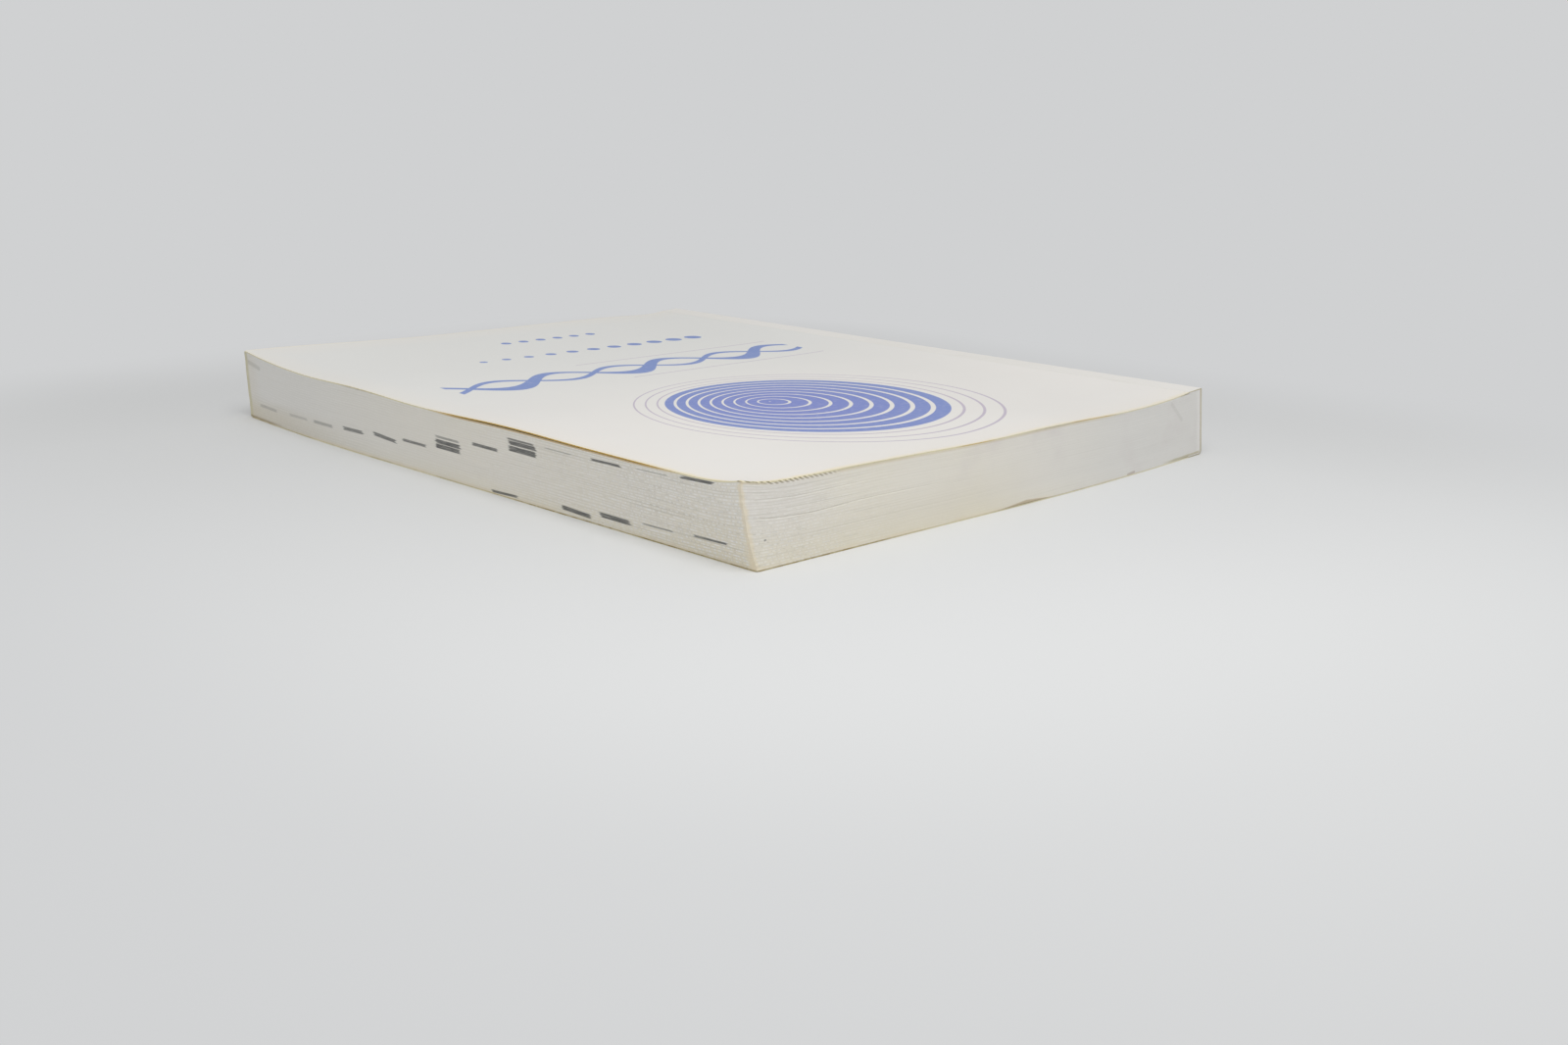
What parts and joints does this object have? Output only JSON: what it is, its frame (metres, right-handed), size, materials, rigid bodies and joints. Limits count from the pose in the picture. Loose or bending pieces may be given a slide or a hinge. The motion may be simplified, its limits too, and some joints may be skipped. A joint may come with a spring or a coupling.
{
  "type": "paperback book",
  "caption": "Perfect-bound paperback lying on its back cover, with a leaning fore edge, lifted corners and front and back covers that open at their scores.",
  "frame": {"origin": "on the outer face of the back cover, in the middle of the trimmed size", "axes": "+X from the spine to the fore edge, +Y from the tail to the head, +Z from the back cover to the front cover"},
  "size_m": [0.1821, 0.2286, 0.0224],
  "materials": {
    "leaves": "uncoated paper, cut edges slightly toned",
    "adhesive": "hot-melt adhesive, translucent amber",
    "cover_card": "smooth off-white card with blue print"
  },
  "bodies": {
    "block": {"text_block": "leaves", "spine_glue": "adhesive", "cover_spine": "cover_card"},
    "front": {"front_cover": "cover_card"},
    "back": {"back_cover": "cover_card"}
  },
  "joints": [
    {"name": "front_cover_hinge", "type": "hinge", "parent": "block", "child": "front", "pos_m": [-0.0797, 0, 0.021], "axis": [0, -1, 0], "range_deg": [0, 175]},
    {"name": "back_cover_hinge", "type": "hinge", "parent": "block", "child": "back", "pos_m": [-0.082, 0, 0.0017], "axis": [0, 1, 0], "range_deg": [0, 175]}
  ]
}
